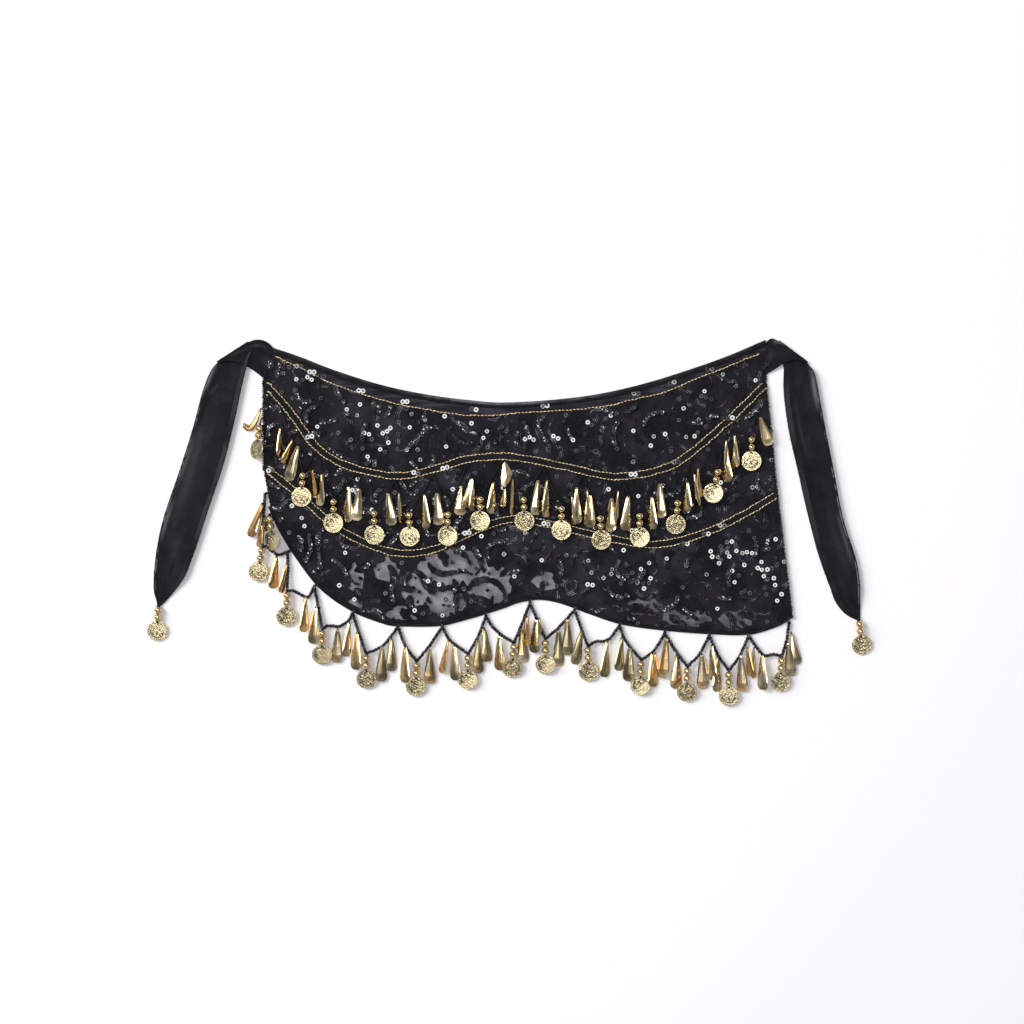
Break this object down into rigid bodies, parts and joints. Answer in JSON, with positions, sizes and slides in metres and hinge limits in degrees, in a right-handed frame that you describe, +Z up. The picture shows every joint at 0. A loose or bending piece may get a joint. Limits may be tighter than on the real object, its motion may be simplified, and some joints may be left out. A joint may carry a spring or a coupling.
{
  "type": "belly dance hip scarf",
  "caption": "Hip scarf of sequined mesh with two tie ribbons, two sewn bands and two fringes of coins and drop paillettes, laid flat.",
  "frame": {"origin": "on the surface under the middle of the scarf's outline, as it lies flat", "axes": "+Z up off the surface it lies on, +Y from hem to waist edge, +X to the right along the waist"},
  "size_m": [0.724, 0.3691, 0.0156],
  "materials": {
    "sequin_mesh": "black mesh with glossy black scroll embroidery and ring sequins",
    "band_cloth": "black sewn band with gold chain stitch",
    "chiffon": "black chiffon, soft sheen",
    "fringe": "black thread and mirror-gold drop paillettes",
    "coin": "pressed thin coins and polished beads, pale gold"
  },
  "bodies": {
    "root": {"body_panel": "sequin_mesh", "drop_hem_01": "coin", "drop_hem_02": "coin", "drop_hem_03": "coin", "drop_hem_04": "coin", "drop_hem_05": "coin", "drop_hem_06": "coin", "drop_hem_07": "coin", "drop_hem_08": "coin", "drop_hem_09": "coin", "drop_hem_10": "coin", "drop_hem_11": "coin", "drop_hem_12": "coin", "drop_hem_13": "coin", "drop_hem_corner": "coin", "drop_tie_left": "coin", "drop_tie_right": "coin", "drop_upper_01": "coin", "drop_upper_02": "coin", "drop_upper_03": "coin", "drop_upper_04": "coin", "drop_upper_05": "coin", "drop_upper_06": "coin", "drop_upper_07": "coin", "drop_upper_08": "coin", "drop_upper_09": "coin", "drop_upper_10": "coin", "drop_upper_11": "coin", "drop_upper_12": "coin", "drop_upper_13": "coin", "drop_upper_edge": "coin", "fringe_hem": "fringe", "fringe_upper": "fringe", "hem_binding": "chiffon", "lower_band": "band_cloth", "lower_panel": "sequin_mesh", "tie_left": "chiffon", "tie_right": "chiffon", "upper_band": "band_cloth", "waist_binding": "chiffon"}
  },
  "joints": []
}
